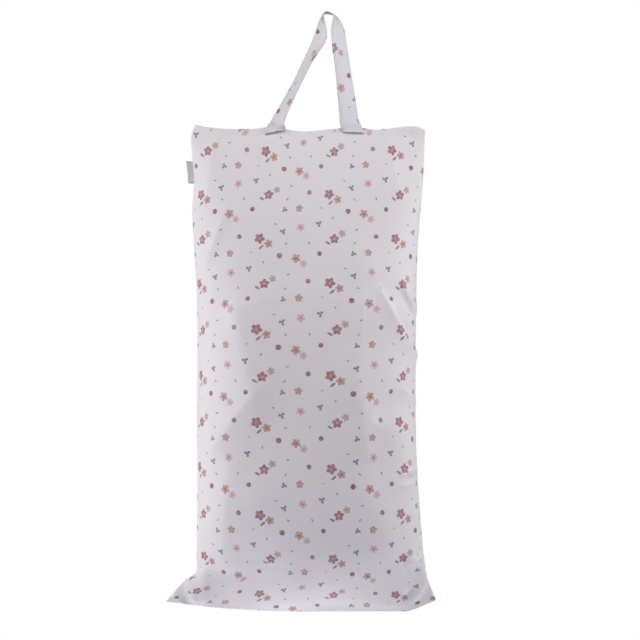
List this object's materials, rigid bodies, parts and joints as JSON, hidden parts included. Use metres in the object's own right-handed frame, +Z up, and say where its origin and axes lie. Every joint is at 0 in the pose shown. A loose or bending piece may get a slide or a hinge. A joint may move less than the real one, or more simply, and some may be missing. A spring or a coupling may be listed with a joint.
{
  "type": "cloth diaper wet bag",
  "caption": "Large zipped cloth wet bag, stuffed full and hanging by a flat cloth strap sewn to its front.",
  "frame": {"origin": "underside of the strap at the top of its loop, where it hangs on a peg", "axes": "+Z up, -Y towards the front that carries the strap's ends, +X to the right seen from the front"},
  "size_m": [0.3974, 0.1672, 0.8825],
  "materials": {
    "bag_cloth": "laminated polyester knit, printed, soft satin",
    "strap_cloth": "the bag's printed cloth, folded and topstitched",
    "zip": "white nylon coil on woven tape",
    "label": "grey woven satin ribbon, bare"
  },
  "bodies": {
    "root": {"front_panel": "bag_cloth", "back_panel": "bag_cloth", "zip_closure": "zip", "handle_strap": "strap_cloth", "side_label": "label"}
  },
  "joints": []
}
